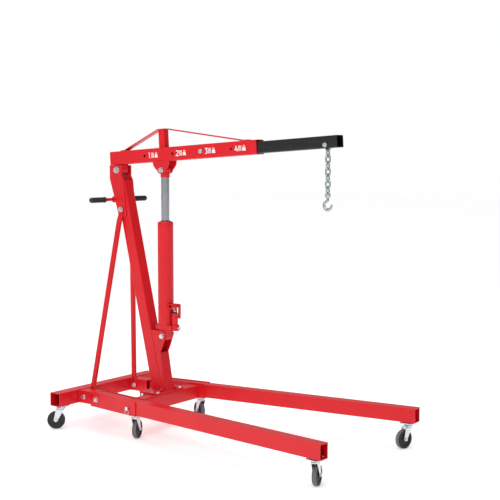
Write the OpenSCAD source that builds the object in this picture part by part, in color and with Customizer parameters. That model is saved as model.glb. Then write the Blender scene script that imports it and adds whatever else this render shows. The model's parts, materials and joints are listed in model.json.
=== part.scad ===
// Folding engine hoist crane: a wheeled base with two splayed folding legs, a leaning mast,
// a boom lifted by a long hydraulic ram, a sliding boom extension, chain and hook.
// Millimetres. +X points forward along the boom, +Z up, the floor is z = 0.

/* [Base] */
// Outer size of the square base tubes
base_tube = 75; // [60:1:90]
// Height of the underside of the base tubes above the floor
base_z = 133; // [128:1:150]
// Position of the rear cross tube's axis
rear_x = -862; // [-900:1:-820]
// Half the length of the rear cross tube
rear_half = 398; // [360:1:430]
// Position of the front cross tube's axis
cross_x = -398; // [-420:1:-380]
// Wall of the base tubes and legs
base_wall = 4; // [3:0.5:6]

/* [Legs] */
// Position of the legs' front ends
leg_front_x = 933; // [850:1:1000]
// Angle at which each leg splays outwards
splay = 7.2; // [4:0.1:10]
// Distance from the middle plane to a leg's outer front corner
leg_reach = 475; // [440:1:500]
// Width of a leg tube
leg_w = 60; // [50:1:70]
// Height of a leg tube
leg_h = 75; // [60:1:80]
// Position of the leg pivots along the crane
leg_pivot_x = -659; // [-680:1:-640]
// Distance from a leg's pivot to its lock pin
lock_dist = 268; // [230:1:290]

/* [Mast] */
// Outer size of the square mast tube
mast_w = 70; // [60:1:80]
// Rearward lean of the mast
mast_lean = 13.1; // [8:0.1:18]
// Position of the mast's centre line at its foot
mast_foot_x = -434; // [-450:1:-420]
// Height of the mast tube's top end
mast_top_z = 1379; // [1200:1:1450]
// Length of the push handle
handle_l = 456; // [360:1:560]

/* [Boom] */
// Height of the boom tube
boom_h = 75; // [70:1:90]
// Width of the boom tube
boom_w = 69; // [68:1:69.4]
// Wall of the boom tube
boom_wall = 4; // [3:0.5:4]
// Angle of the boom above level as drawn
boom_tilt = 3.4; // [0:0.1:10]
// Position of the boom's pivot
boom_pivot_x = -718; // [-740:1:-700]
// Height of the boom's pivot above the floor
boom_pivot_z = 1434; // [1400:1:1470]
// Length of the boom tube ahead of its pivot
boom_front = 972; // [900:1:1050]
// Distance between the boom's load positions
load_pitch = 200; // [150:1:200]
// Length of the boom extension
ext_l = 893; // [800:1:950]
// Outer size of the square extension tube
ext_w = 60; // [50:1:60]

/* [Jack] */
// Position of the jack's axis
jack_x = -394; // [-400:1:-385]
// Height of the jack's lower pivot
jack_low_z = 523; // [500:1:540]
// Diameter of the jack's cylinder
cyl_d = 86; // [70:1:90]
// Diameter of the ram
ram_d = 44; // [30:1:50]
// Height of the cylinder's top end
cyl_top_z = 1157; // [1100:1:1180]

/* [Chain and hook] */
// Diameter of the chain's wire
wire_d = 9; // [6:0.5:10]
// Inner length of a chain link
link_in = 31; // [27:0.5:36]
// Number of chain links
links = 8; // [4:2:10]

/* [Casters] */
// Diameter of a caster's wheel
wheel_d = 100; // [75:1:100]
// Width of a caster's wheel
wheel_w = 26; // [20:1:30]
// Distance from a caster's swivel axis to its axle
trail = 30; // [20:1:36]
// Direction in which the right rear caster trails
turn_rear_right = 217; // [0:1:359]
// Direction in which the left rear caster trails
turn_rear_left = 150; // [0:1:359]
// Direction in which the right middle caster trails
turn_mid_right = 112; // [0:1:359]
// Direction in which the left middle caster trails
turn_mid_left = 155; // [0:1:359]
// Direction in which the right front caster trails
turn_front_right = 108; // [0:1:359]
// Direction in which the left front caster trails
turn_front_left = 254; // [0:1:359]

/* [Hidden] */
$fn = 48;
slack = 0.05;               // radial running clearance of a pin in its bore
gap = 0.3;                  // clearance between moving faces
right = -1;
left = 1;
red = [0.80, 0.09, 0.11];
black = [0.06, 0.06, 0.07];
zinc = [0.72, 0.74, 0.77];
steel = [0.78, 0.78, 0.80];
rubber = [0.08, 0.08, 0.09];

base_top = base_z + base_tube;
leg_z = base_z + 5;                          // underside of a leg
leg_mid_z = leg_z + leg_h/2;                 // height of the leg pivots
leg_pivot_y = leg_reach - (leg_front_x - leg_pivot_x)*tan(splay) - leg_w/2/cos(splay);
leg_l = (leg_front_x - leg_pivot_x)/cos(splay);
channel_in = leg_w/2 + 0.75;                 // half the inside width of a leg channel
channel_wall = 4.5;
channel_out = channel_in + channel_wall;
channel_l = 328;
channel_r = 42;                              // rounded rear end of a channel's walls
channel_back = 51;                           // rear face of the channel behind its pivot
pivot_bolt_r = 8;
lock_pin_r = 7;

foot_top = base_top + 9;
foot_x0 = mast_foot_x - 58;
foot_l = 124;
foot_y = 115;
foot_bolt_y = 92;
plate_t = 6;                                 // thickness of side plates and tabs
side_y = mast_w/2;                           // inner face of the mast's side plates
head_bolt_r = 10;
bush_r = 15;
brace_top = [-683, 1215];                    // x, z of the braces' upper bolt
brace_low = [-797, 168];                     // x, z of the braces' lower bolts
bracket_in = 178;                            // inner face of a rear bracket
bracket_w = 68;
brace_r = 15;
brace_start = 0.07;                          // share of a brace's length left to each end's tab
tab_r = 14;                                  // half the width of a brace's tab
tab_end_r = 17;
tab_l = 95;
handle_x = -741;
handle_z = 1269;
handle_r = 9;
grip_r = 16;
grip_l = 118;

boom_low = 29.6;                             // boom underside above the pivot, square to the boom
boom_top = boom_low + boom_h;
boom_mid = boom_low + boom_h/2;
boom_back = 51;
load_d = [for (i = [0:3]) 210 + i*load_pitch];
pin_d = load_d[2];
hole_r = lock_pin_r + slack;
ext_low = boom_low + boom_wall + 0.6;
ext_back = pin_d - 50;
ext_front = ext_back + ext_l;
ext_wall = 4;
slot_end = 2*load_pitch + 50;                // the pin's travel along the extension when it slides in
chain_d = ext_front - 70;
chain_h = ext_low + 16;
chain_bolt_r = 6;

ear_h = -17;                                 // upper ram bolt, square to the boom
ear_d = (jack_x - boom_pivot_x + ear_h*sin(boom_tilt))/cos(boom_tilt);
ear_in = 28.5;
ear_r = 32;
eye_half = 20;
jack_top_z = boom_pivot_z + ear_d*sin(boom_tilt) + ear_h*cos(boom_tilt);
jack_bolt_r = 8;
base_block_z = jack_low_z + 39;
cyl_z = base_block_z + 24;
cyl_wall = 6;
piston_z = 858;                              // top of the piston as drawn
piston_h = 30;
pump_x = jack_x + 64;
pump_r = 17;
pump_boss_r = 25;
bracket_out = 36.3;                            // outer faces of the jack's bracket
pump_top = 652;
lever_z = 692;
lever_y = 22;                                // fulcrum beyond the plunger
socket_r = 14;
socket_in = 10.5;
socket_y = -40;
plunger_r = 7;
valve_z = base_block_z + 9;
valve_r = 5;
pump_seat_z = cyl_z - 6;
fulcrum_r = 4;

axle_z = wheel_d/2;
axle_r = 5;
plate_h = 4;
plate_bolt_r = 4;
fork_top = base_z - 12;
fork_half = 17;                              // outer face of a fork's cheeks from its middle
fork_t = 3;

rear_caster = [rear_x, 350];
mid_caster = [-372, 282];
front_along = leg_front_x - 52 - leg_pivot_x;
front_caster = [leg_front_x - 52, leg_pivot_y + front_along*tan(splay)];

// ---- helpers ----

// Box between two corners
module box(a, b) { translate(a) cube(b - a); }

// Cylinder along Y between two heights y0 and y1 at x, z
module rod_y(x, z, r, y0, y1) {
    translate([x, y0, z]) rotate([-90, 0, 0]) cylinder(r = r, h = y1 - y0);
}

// Hexagon along Y, across-corners radius r
module hex_y(x, z, r, y0, y1) {
    translate([x, y0, z]) rotate([-90, 0, 0]) cylinder(r = r, h = y1 - y0, $fn = 6);
}

// A plate whose outline is given in x and z, from y0 to y1
module plate_y(points, y0, y1) {
    translate([0, y1, 0]) rotate([90, 0, 0]) linear_extrude(height = y1 - y0) polygon(points);
}

// Bolt along Y with a hexagon head at y0 and a nut at y1, r is its shank
module bolt_y(x, z, r, y0, y1) {
    rod_y(x, z, r, y0, y1);
    rod_y(x, z, r*1.9, y0 - 2, y0);
    hex_y(x, z, r*1.7, y0 - 2 - r, y0 - 2);
    rod_y(x, z, r*1.9, y1, y1 + 2);
    hex_y(x, z, r*1.7, y1 + 2, y1 + 2 + r*0.9);
    rod_y(x, z, r, y1 + 2, y1 + 6 + r);
}

// Places children in a leg's own frame: origin at its pivot's axis on the floor, +X along the leg
module leg_frame(side) {
    translate([leg_pivot_x, side*leg_pivot_y, 0]) rotate([0, 0, side*splay]) children();
}

// Places children in the boom's own frame: origin at its pivot, +X along the boom
module boom_frame() {
    translate([boom_pivot_x, 0, boom_pivot_z]) rotate([0, -boom_tilt, 0]) children();
}

// ---- base ----

module rear_cross_tube() {
    color(red) difference() {
        box([rear_x - base_tube/2, -rear_half, base_z], [rear_x + base_tube/2, rear_half, base_top]);
        box([rear_x - base_tube/2 + base_wall, -rear_half - 1, base_z + base_wall],
            [rear_x + base_tube/2 - base_wall, rear_half + 1, base_top - base_wall]);
    }
}

// Box-section brackets that join the rear cross tube to the leg channels
module rear_brackets() {
    x0 = rear_x + base_tube/2;
    color(red) for (side = [right, left]) difference() {
        y0 = side*(bracket_in + bracket_w/2) - bracket_w/2;
        box([x0, y0, base_z + 1], [x0 + 160, y0 + bracket_w, base_z + 71]);
        box([x0 - 1, y0 + 5, base_z + 6], [x0 + 161, y0 + bracket_w - 5, base_z + 66]);
        leg_frame(side) box([-channel_back, -200, 0], [200, 200, 400]);
        rod_y(brace_low[0], brace_low[1], pivot_bolt_r, y0 - 1, y0 + bracket_w + 1);
    }
}

// U-shaped channel, open on top, that holds a leg
module leg_channel(side) {
    color(red) leg_frame(side) difference() {
        union() {
            box([-channel_back, -channel_out, base_z], [channel_l, channel_out, base_z + channel_wall]);
            box([-channel_back, -channel_out, base_z + channel_wall],
                [-channel_back + 5, channel_out, base_z + 70]);
            for (s = [-1, 1]) {
                y0 = s > 0 ? channel_in : -channel_out;
                box([0, y0, base_z + channel_wall - 1], [channel_l, y0 + channel_wall, base_z + 2*channel_r]);
                intersection() {
                    rod_y(0, base_z + channel_r, channel_r, y0, y0 + channel_wall);
                    box([-100, -100, base_z + channel_wall - 1], [10, 100, 400]);
                }
                box([-channel_back + 2, y0, base_z + 1], [-channel_r + 30, y0 + channel_wall, base_z + 36]);
            }
        }
        rod_y(0, leg_mid_z, pivot_bolt_r, -100, 100);
        rod_y(lock_dist, leg_mid_z - 6, lock_pin_r + slack, -100, 100);
    }
}

module leg_channel_right() { leg_channel(right); }
module leg_channel_left() { leg_channel(left); }

module front_cross_tube() {
    h = base_tube/2;
    color(red) difference() {
        box([cross_x - h, -300, base_z], [cross_x + h, 300, base_top]);
        box([cross_x - h + base_wall, -301, base_z + base_wall], [cross_x + h - base_wall, 301, base_top - base_wall]);
        for (side = [right, left]) leg_frame(side)
            box([-200, side > 0 ? -channel_out : -200, 0], [600, side > 0 ? 200 : channel_out, 400]);
        for (x = [-1, 1]) for (y = [-1, 1]) translate([cross_x + x*19, y*foot_bolt_y, base_top - 10])
            cylinder(r = 7, h = 20);
    }
}

// ---- legs ----

// Leg tube with a rounded rear end; a notch below the lock pin's hole lets it fold past the pin
module leg(side) {
    h = leg_h/2;
    notch_r = lock_pin_r + 1;
    color(red) leg_frame(side) difference() {
        union() {
            box([0, -leg_w/2, leg_z], [leg_l, leg_w/2, leg_z + leg_h]);
            rod_y(0, leg_mid_z, h, -leg_w/2, leg_w/2);
        }
        box([-100, -leg_w/2 + base_wall, leg_z + base_wall],
            [leg_l + 40, leg_w/2 - base_wall, leg_z + leg_h - base_wall]);
        rod_y(0, leg_mid_z, pivot_bolt_r + slack, -100, 100);
        rod_y(lock_dist, leg_mid_z - 6, notch_r, -100, 100);
        box([lock_dist - notch_r - 5, -100, leg_z - 1], [lock_dist + notch_r, 100, leg_mid_z - 6]);
        for (x = [-28, 28]) for (y = [-17, 17]) translate([front_along/cos(splay) + x, y, leg_z - 1])
            cylinder(r = plate_bolt_r, h = 10);
        // front end cut square to the crane
        rotate([0, 0, -side*splay]) box([leg_front_x - leg_pivot_x, -400, 0], [leg_front_x - leg_pivot_x + 100, 400, 400]);
    }
}

module leg_right() { leg(right); }
module leg_left() { leg(left); }

module leg_pivot_bolts() {
    color(zinc) for (side = [right, left]) leg_frame(side) mirror([0, side > 0 ? 1 : 0, 0])
        bolt_y(0, leg_mid_z, pivot_bolt_r, -channel_out, channel_out);
}

// Pull pin with a ring through its head
module leg_pin(side) {
    z = leg_mid_z - 6;
    color(zinc) leg_frame(side) mirror([0, side > 0 ? 1 : 0, 0]) {
        rod_y(lock_dist, z, lock_pin_r, -channel_out - 3, channel_out + 12);
        rod_y(lock_dist, z, 11, -channel_out - 13, -channel_out - gap);
        translate([lock_dist, -channel_out - 8, z - 20]) rotate([90, 0, 0])
            rotate_extrude() translate([14, 0]) circle(r = 1.8);
    }
}

module leg_pin_right() { leg_pin(right); }
module leg_pin_left() { leg_pin(left); }

// ---- mast ----

// Places children along the leaning mast: origin at its foot's centre, +Z up the mast
module mast_frame() { translate([mast_foot_x, 0, foot_top]) rotate([0, -mast_lean, 0]) children(); }

// The mast's front face in x at a height z
function mast_front(z) = mast_foot_x + mast_w/2/cos(mast_lean) - (z - foot_top)*tan(mast_lean) + 0.05;

module mast() {
    w = mast_w/2;
    color(red) difference() {
        intersection() {
            mast_frame() box([-w, -w, -60], [w, w, 1300]);
            box([-1000, -100, foot_top], [0, 100, mast_top_z]);
        }
        mast_frame() box([-w + 4, -w + 4, -80], [w - 4, w - 4, 1400]);
        rod_y(brace_top[0], brace_top[1], pivot_bolt_r, -100, 100);
    }
}

module mast_foot_plate() {
    color(red) difference() {
        box([foot_x0, -foot_y, base_top], [foot_x0 + foot_l, foot_y, foot_top]);
        for (x = [-1, 1]) for (y = [-1, 1]) translate([cross_x + x*19, y*foot_bolt_y, base_top - 1])
            cylinder(r = 7, h = 20);
    }
}

module foot_bolts() {
    color(zinc) for (x = [-1, 1]) for (y = [-1, 1]) translate([cross_x + x*19, y*foot_bolt_y, 0]) {
        translate([0, 0, base_top - 14]) cylinder(r = 7, h = 14 + 9);
        translate([0, 0, foot_top]) cylinder(r = 13, h = 2);
        translate([0, 0, foot_top + 2]) cylinder(r = 12, h = 8, $fn = 6);
        translate([0, 0, base_top - 14]) cylinder(r = 12, h = 10, $fn = 6);
    }
}

// Side plates at the top of the mast; the boom's rear end turns between them
module mast_head_plates() {
    outline = [[-771, 1461], [-771, 1385], [-708, 1190], [-678, 1158], [-648, 1180],
               [-668, 1379], [-681, 1400], [-681, 1461]];
    color(red) for (side = [right, left]) difference() {
        y0 = side > 0 ? side_y : -side_y - plate_t;
        union() {
            plate_y(outline, y0, y0 + plate_t);
            rod_y(handle_x, handle_z, 2*handle_r, y0, y0 + plate_t);
        }
        rod_y(boom_pivot_x, boom_pivot_z, head_bolt_r, -100, 100);
        rod_y(brace_top[0], brace_top[1], pivot_bolt_r, -100, 100);
        rod_y(handle_x, handle_z, handle_r, -100, 100);
    }
}

// Long cheek plates on the mast's sides that carry the jack's lower pivot
module jack_bracket() {
    outline = [[mast_front(552), 552], [-385, 552], [-366, 536], [-390, 470], [-408, 432],
               [-372, foot_top], [mast_front(foot_top), foot_top]];
    web = [[-408, 430], [-372, foot_top], [-379, foot_top], [-415, 430]];
    color(red) difference() {
        union() {
            for (side = [right, left]) plate_y(outline, side > 0 ? bracket_out - plate_t : -bracket_out,
                side > 0 ? bracket_out : plate_t - bracket_out);
            plate_y(web, 1 - bracket_out, bracket_out - 1);
        }
        rod_y(jack_x, jack_low_z, jack_bolt_r + slack, -100, 100);
    }
}

module handle_bar() {
    color(red) rod_y(handle_x, handle_z, handle_r, -handle_l/2 + 8, handle_l/2 - 8);
}

module handle_grips() {
    color(rubber) for (side = [right, left]) mirror([0, side > 0 ? 1 : 0, 0]) difference() {
        union() {
            rod_y(handle_x, handle_z, grip_r, -handle_l/2 + 5, -handle_l/2 + grip_l);
            rod_y(handle_x, handle_z, grip_r - 4, -handle_l/2, -handle_l/2 + 6);
        }
        rod_y(handle_x, handle_z, handle_r, -handle_l/2 + 8, 0);
    }
}

// Round stay with a flat tab at each end, from the mast's head plate to a rear bracket
module brace(side) {
    p0 = [brace_top[0], side*(side_y + 1.5*plate_t), brace_top[1]];
    p1 = [brace_low[0], side*(bracket_in - plate_t/2), brace_low[1]];
    d = p1 - p0;
    l = norm(d);
    slope = atan2(d[0], -d[2]);
    tab = 2*tab_r;
    color(red) difference() {
        union() {
            translate(p0 + d*brace_start) rotate([0, acos(d[2]/l), atan2(d[1], d[0])])
                cylinder(r = brace_r, h = l*(1 - 2*brace_start));
            for (end = [[p0, 0], [p1, 180]]) {
                translate(end[0]) rotate([0, end[1] - slope, 0])
                    translate([-tab_r, -plate_t/2, -tab_l]) cube([tab, plate_t, tab_l]);
                rod_y(end[0][0], end[0][2], tab_end_r, end[0][1] - plate_t/2, end[0][1] + plate_t/2);
            }
        }
        for (p = [p0, p1]) rod_y(p[0], p[2], pivot_bolt_r, p[1] - 20, p[1] + 20);
    }
}

module brace_right() { brace(right); }
module brace_left() { brace(left); }

module brace_bolts() {
    y0 = side_y + 2*plate_t;
    color(zinc) {
        bolt_y(brace_top[0], brace_top[1], pivot_bolt_r, -y0, y0);
        for (side = [right, left]) mirror([0, side > 0 ? 1 : 0, 0])
            bolt_y(brace_low[0], brace_low[1], pivot_bolt_r, -bracket_in - bracket_w, -bracket_in + plate_t);
    }
}

module boom_pivot_bolt() {
    color(zinc) bolt_y(boom_pivot_x, boom_pivot_z, head_bolt_r, -side_y - plate_t, side_y + plate_t);
}

// ---- boom ----

// Bush between the boom's lug and its pivot bolt
module boom_bush() {
    color(steel) difference() {
        rod_y(boom_pivot_x, boom_pivot_z, bush_r, -side_y + 1, side_y - 1);
        rod_y(boom_pivot_x, boom_pivot_z, head_bolt_r + slack, -100, 100);
    }
}

module boom_tube() {
    w = boom_w/2;
    color(red) boom_frame() difference() {
        box([-boom_back, -w, boom_low], [boom_front, w, boom_top]);
        box([-boom_back - 1, -w + boom_wall, boom_low + boom_wall], [boom_front + 1, w - boom_wall, boom_top - boom_wall]);
        for (d = load_d) rod_y(d, boom_mid, hole_r, -100, 100);
    }
}

module boom_lug() {
    color(red) boom_frame() difference() {
        union() {
            box([-30, -27, 0], [28, 27, boom_low]);
            rod_y(0, 0, 27, -27, 27);
        }
        rod_y(0, 0, bush_r + slack, -100, 100);
    }
}

module boom_ears() {
    outline = [[ear_d - 58, boom_low], [ear_d - 54, boom_low - 21], [ear_d - 36, boom_low - 43],
               [ear_d + 36, boom_low - 43], [ear_d + 54, boom_low - 21], [ear_d + 58, boom_low]];
    color(red) boom_frame() for (side = [right, left]) {
        y0 = side > 0 ? ear_in : -ear_in - plate_t;
        difference() {
            union() {
                plate_y(outline, y0, y0 + plate_t);
                rod_y(ear_d, boom_low - 36, ear_r, y0, y0 + plate_t);
            }
            rod_y(ear_d, ear_h, jack_bolt_r, -100, 100);
        }
    }
}

// Ends of the bolt through the ears; its middle is left out where the ram's eye passes
module ear_bolts() {
    color(zinc) boom_frame() for (side = [right, left]) mirror([0, side > 0 ? 1 : 0, 0]) {
        y0 = -ear_in - plate_t;
        rod_y(ear_d, ear_h, jack_bolt_r, y0, -eye_half - 4);
        rod_y(ear_d, ear_h, 15, y0 - 2, y0);
        hex_y(ear_d, ear_h, 13.5, y0 - 9, y0 - 2);
    }
}

module king_post() {
    color(red) boom_frame() difference() {
        box([ear_d - 20, -20, boom_top], [ear_d + 22, 20, boom_top + 98]);
        box([ear_d - 16, -16, boom_top - 1], [ear_d + 18, 16, boom_top + 92]);
    }
}

// Flat tie bar bent over the king post and welded to the boom at both ends
module tie_strap() {
    t = 5;
    top = boom_top + 98;
    outline = [[20, boom_top], [46, boom_top], [ear_d - 24, top], [ear_d + 26, top], [868, boom_top],
               [905, boom_top], [905, boom_top + t], [869, boom_top + t], [ear_d + 27, top + t],
               [ear_d - 25, top + t], [44, boom_top + t], [20, boom_top + t]];
    color(red) boom_frame() plate_y(outline, -20, 20);
}

// Sliding extension; its sides are slotted inside the boom where the load pin passes
module extension_tube() {
    w = ext_w/2;
    color(black) boom_frame() difference() {
        box([ext_back, -w, ext_low], [ext_front, w, ext_low + ext_w]);
        box([ext_back - 1, -w + ext_wall, ext_low + ext_wall], [ext_front + 1, w - ext_wall, ext_low + ext_w - ext_wall]);
        rod_y(ext_back + slot_end, boom_mid, hole_r, -100, 100);
        box([ext_back - 1, -100, boom_mid - hole_r], [ext_back + slot_end, 100, boom_mid + hole_r]);
        box([chain_d - 26, -10, ext_low - 1], [chain_d + 26, 10, ext_low + ext_wall + 1]);
        rod_y(chain_d, chain_h, chain_bolt_r, -100, 100);
    }
}

module chain_bolt() {
    color(zinc) boom_frame() bolt_y(chain_d, chain_h, chain_bolt_r, -ext_w/2, ext_w/2);
}

module boom_pin() {
    w = boom_w/2;
    color(zinc) boom_frame() {
        rod_y(pin_d, boom_mid, lock_pin_r, -w - 4, w + 14);
        rod_y(pin_d, boom_mid, 13, -w - 12, -w - gap);
    }
}

// ---- chain and hook ----

// One link: two half rings joined by straight sides
module chain_link() {
    r = 7 + wire_d/2;
    straight = link_in/2 - 7;
    for (s = [-1, 1]) {
        intersection() {
            translate([0, 0, s*straight]) rotate([90, 0, 0]) rotate_extrude() translate([r, 0]) circle(d = wire_d);
            box([-50, -50, s > 0 ? straight : -50 - straight], [50, 50, s > 0 ? 50 + straight : -straight]);
        }
        translate([s*r, 0, -straight]) cylinder(d = wire_d, h = 2*straight);
    }
}

function chain_x() = boom_pivot_x + chain_d*cos(boom_tilt) - chain_h*sin(boom_tilt);
function chain_z() = boom_pivot_z + chain_d*sin(boom_tilt) + chain_h*cos(boom_tilt);
function link_step() = link_in - gap;
function link_z(k) = chain_z() + chain_bolt_r + gap - link_in/2 - k*link_step();

module chain_part(first, last) {
    color(zinc) for (k = [first:last]) translate([chain_x(), 0, link_z(k)])
        rotate([0, 0, k % 2 == 0 ? 0 : 90]) chain_link();
}

module chain_upper() { chain_part(0, links/2 - 1); }
module chain_lower() { chain_part(links/2, links - 1); }

// Forged slip hook hanging in the XZ plane from the last link
module load_hook() {
    eye_r = 12;
    top = link_z(links - 1) - link_in/2 + gap;       // inside top of the eye
    eye_z = top - eye_r + wire_d/2;
    bowl_r = 23;
    bowl_z = eye_z - 50;
    t = 13;
    color(zinc) translate([chain_x(), 0, 0]) {
        translate([0, 0, eye_z]) rotate([90, 0, 0]) rotate_extrude() translate([eye_r, 0]) circle(d = wire_d);
        translate([0, 0, bowl_z + bowl_r - 4]) cylinder(d = t, h = eye_z - eye_r - bowl_z - bowl_r + 8);
        difference() {
            translate([0, 0, bowl_z]) rotate([90, 0, 0]) rotate_extrude() translate([bowl_r, 0]) circle(d = t);
            translate([0, 0, bowl_z]) rotate([0, -20, 0]) box([4, -20, 0], [60, 20, 60]);
        }
    }
}

// ---- jack ----

module jack_pin() {
    color(zinc) bolt_y(jack_x, jack_low_z, jack_bolt_r, -bracket_out - gap, bracket_out + gap);
}

module jack_base() {
    color(red) difference() {
        union() {
            rod_y(jack_x, jack_low_z, 26, -30, 30);
            box([jack_x - 26, -30, jack_low_z], [jack_x + 26, 30, base_block_z]);
            box([jack_x - 44, -36, base_block_z], [pump_x, 36, cyl_z]);
            translate([pump_x, 0, base_block_z - 6]) cylinder(r = pump_boss_r, h = cyl_z - base_block_z + 6);
            translate([jack_x, 0, base_block_z]) cylinder(r = 45, h = cyl_z - base_block_z);
        }
        rod_y(jack_x, jack_low_z, jack_bolt_r + slack, -100, 100);
        translate([pump_x, 0, pump_seat_z]) cylinder(r = pump_r, h = 20);
        translate([pump_x - 10, 0, valve_z]) rotate([0, 90, 0]) cylinder(r = valve_r + slack, h = 60);
    }
}

module jack_cylinder() {
    color(red) difference() {
        translate([jack_x, 0, cyl_z]) cylinder(d = cyl_d, h = cyl_top_z - 22 - cyl_z);
        translate([jack_x, 0, cyl_z + 8]) cylinder(d = cyl_d - 2*cyl_wall, h = 800);
    }
}

// Gland cap at the top of the cylinder, with the ram's bore and a rounded shoulder
module cylinder_cap() {
    z0 = cyl_top_z - 22;
    color(red) difference() {
        union() {
            translate([jack_x, 0, z0]) cylinder(d = cyl_d, h = 14);
            translate([jack_x, 0, z0 + 14]) cylinder(d1 = cyl_d, d2 = cyl_d - 16, h = 8);
        }
        translate([jack_x, 0, z0 - 1]) cylinder(r = ram_d/2 + slack, h = 40);
    }
}

module piston() {
    color(steel) translate([jack_x, 0, piston_z - piston_h]) cylinder(r = cyl_d/2 - cyl_wall - slack, h = piston_h);
}

module ram_rod() {
    color([0.85, 0.85, 0.87]) translate([jack_x, 0, piston_z + gap])
        cylinder(d = ram_d, h = jack_top_z - 22 - piston_z - gap);
}

module ram_eye() {
    color(steel) difference() {
        union() {
            rod_y(jack_x, jack_top_z, 25, -eye_half, eye_half);
            translate([jack_x, 0, jack_top_z - 40]) cylinder(d = ram_d + 6, h = 26);
        }
        rod_y(jack_x, jack_top_z, jack_bolt_r + 1, -100, 100);
        translate([jack_x, 0, jack_top_z - 60]) cylinder(d = ram_d, h = 38);
    }
}

// Pump barrel with a yoke whose pin is the lever's fulcrum
module pump_body() {
    yoke_z = pump_top - 30;
    color(red) {
        difference() {
            union() {
                translate([pump_x, 0, pump_seat_z]) cylinder(r = pump_r, h = pump_top - pump_seat_z);
                box([pump_x - 16, 14, yoke_z], [pump_x + 16, 30, yoke_z + 18]);
                for (x0 = [pump_x + 11, pump_x - 16]) box([x0, 14, yoke_z], [x0 + 5, 32, lever_z + 9]);
            }
            translate([pump_x, 0, cyl_z + 6]) cylinder(r = plunger_r + slack, h = 200);
        }
        translate([pump_x - 20, lever_y, lever_z]) rotate([0, 90, 0]) cylinder(r = fulcrum_r, h = 40);
    }
}

module pump_plunger() {
    color(steel) translate([pump_x, 0, cyl_z + 26])
        cylinder(r = plunger_r, h = lever_z - socket_r - 5 - cyl_z - 26);
}

// Handle socket that swings on its fulcrum and works the plunger
module pump_lever() {
    color(red) difference() {
        union() {
            rod_y(pump_x, lever_z, socket_r, socket_y, 8);
            box([pump_x - 10.7, 0, lever_z - 9], [pump_x + 10.7, 32, lever_z + 9]);
        }
        rod_y(pump_x, lever_z, socket_in, socket_y - 1, -2);
        translate([pump_x - 40, lever_y, lever_z]) rotate([0, 90, 0]) cylinder(r = fulcrum_r + slack, h = 80);
    }
}

// Release screw with a knurled head
module release_valve() {
    color(zinc) {
        translate([pump_x + 6, 0, valve_z]) rotate([0, 90, 0]) cylinder(r = valve_r, h = 20);
        translate([pump_x + pump_boss_r + gap, 0, valve_z]) rotate([0, 90, 0]) cylinder(r = 10, h = 12);
    }
}

// ---- casters ----

// Fixed top plate with its bolts, upper race and kingpin of a caster at x, y; turn is the plate's
// angle and top the height at which its bolts end
module caster_top(p, turn, top) {
    translate([p[0], p[1], 0]) {
        rotate([0, 0, turn]) {
            box([-37, -32, base_z - plate_h], [37, 32, base_z]);
            for (x = [-28, 28]) for (y = [-17, 17]) translate([x, y, base_z - plate_h - 5]) {
                cylinder(r = 7, h = 5, $fn = 6);
                cylinder(r = plate_bolt_r, h = top - base_z + plate_h + 5);
            }
        }
        translate([0, 0, fork_top + gap]) cylinder(r = 21, h = base_z - plate_h - fork_top);
        translate([0, 0, fork_top - 8]) cylinder(r = 6, h = 12);
        translate([0, 0, fork_top - 11]) cylinder(r = 10, h = 4 - gap);
    }
}

function at_side(p, side) = [p[0], side*p[1]];

module caster_plates() {
    color(zinc) for (side = [right, left]) {
        caster_top(at_side(rear_caster, side), 0, base_z);
        caster_top(at_side(mid_caster, side), side*splay, base_z);
    }
}

// A leg's caster plate on a spacer, with its nuts inside the leg
module leg_caster_plate(side) {
    nut_z = leg_z + base_wall;
    color(zinc) {
        caster_top(at_side(front_caster, side), side*splay, nut_z + 9);
        translate([front_caster[0], side*front_caster[1], 0]) rotate([0, 0, side*splay]) {
            box([-37, -30, base_z], [37, 30, leg_z]);
            for (x = [-28, 28]) for (y = [-17, 17]) translate([x, y, nut_z]) cylinder(r = 7, h = 6, $fn = 6);
        }
    }
}

module leg_caster_plate_right() { leg_caster_plate(right); }
module leg_caster_plate_left() { leg_caster_plate(left); }

// Pressed fork with its axle bolt; a is the direction in which the wheel trails
module fork(p, a) {
    cheek = [[-21, fork_top - 6], [21, fork_top - 6], [trail + 13, axle_z + 4], [trail + 9, axle_z - 9],
             [trail - 9, axle_z - 9], [trail - 14, axle_z + 4]];
    color(zinc) translate([p[0], p[1], 0]) rotate([0, 0, a]) {
        difference() {
            union() {
                translate([0, 0, fork_top - 7]) cylinder(r = 22, h = 7);
                box([-21, -fork_half, fork_top - 7], [21, fork_half, fork_top]);
                for (s = [-1, 1]) plate_y(cheek, s > 0 ? fork_half - fork_t : -fork_half,
                    s > 0 ? fork_half : -fork_half + fork_t);
            }
            translate([0, 0, fork_top - 50]) cylinder(r = 6 + slack, h = 80);
            for (s = [-1, 1]) rod_y(trail, axle_z, axle_r, -60, 60);
        }
        rod_y(trail, axle_z, axle_r, -fork_half - 6, fork_half + 6);
        hex_y(trail, axle_z, 9, -fork_half - 5, -fork_half);
        hex_y(trail, axle_z, 9, fork_half, fork_half + 5);
    }
}

module wheel(p, a) {
    w = wheel_w/2;
    color(rubber) translate([p[0], p[1], 0]) rotate([0, 0, a]) difference() {
        union() {
            rod_y(trail, axle_z, axle_z - 2, -w, w);
            rod_y(trail, axle_z, axle_z, -w + 3, w - 3);
        }
        rod_y(trail, axle_z, axle_r + slack, -50, 50);
        for (s = [-1, 1]) difference() {
            rod_y(trail, axle_z, axle_z*0.68, s > 0 ? w - 5 : -w - 1, s > 0 ? w + 1 : -w + 5);
            rod_y(trail, axle_z, 13, -50, 50);
        }
    }
}

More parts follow.
